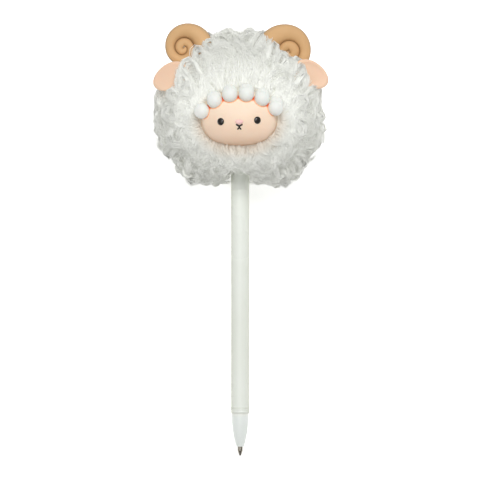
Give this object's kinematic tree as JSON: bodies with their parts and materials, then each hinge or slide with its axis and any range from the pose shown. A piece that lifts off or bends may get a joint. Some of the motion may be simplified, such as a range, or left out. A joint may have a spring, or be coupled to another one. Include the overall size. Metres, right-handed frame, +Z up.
{
  "type": "ballpoint pen with fleece sheep topper",
  "caption": "White stick ballpoint pen with a curly fleece sheep head on its back end, lying face up, with a soft moulded face, beads, ears and coiled horns.",
  "frame": {"origin": "middle of the flattened patch that the head rests on, at the height of the table", "axes": "+Z up and out of the face, +Y from the writing tip towards the head, +X towards the head's left ear as worn, which is the picture's right. The pen leans about 9 degrees, tip down, as it comes to rest"},
  "size_m": [0.0769, 0.1868, 0.0595],
  "materials": {
    "white_barrel": "glossy moulded white plastic",
    "white_nose": "glossy moulded white plastic, slightly cooler",
    "clear_tube": "milky extruded tube",
    "ink": "black ink, a liquid held as a solid",
    "grease": "pale grease, held as a solid",
    "tip_metal": "turned nickel silver",
    "ball_metal": "polished carbide",
    "core_foam": "soft stuffed core",
    "fleece": "curly long-pile fleece",
    "peach_skin": "matte soft moulded plastic",
    "white_bead": "matte soft moulded plastic",
    "black_gloss": "glossy black",
    "pink_button": "matte pink",
    "tan_horn": "matte soft moulded plastic"
  },
  "bodies": {
    "pen": {"barrel": "white_barrel", "nose_cone": "white_nose", "refill_tube": "clear_tube", "ink_column": "ink", "grease_follower": "grease", "tip_holder": "clear_tube", "writing_point": "tip_metal", "barrel_plug": "white_barrel", "head_core": "core_foam", "fleece_cover": "fleece", "face": "peach_skin", "fringe": "white_bead", "eye_left": "black_gloss", "eye_right": "black_gloss", "nose_button": "pink_button", "mouth": "black_gloss", "ear_left": "peach_skin", "ear_right": "peach_skin", "horn_left": "tan_horn", "horn_right": "tan_horn"},
    "ball": {"tip_ball": "ball_metal"}
  },
  "joints": [
    {"name": "ball_roll", "type": "hinge", "parent": "pen", "child": "ball", "pos_m": [0, -0.1429, 0.0015], "axis": [1, 0, 0], "continuous": true}
  ]
}
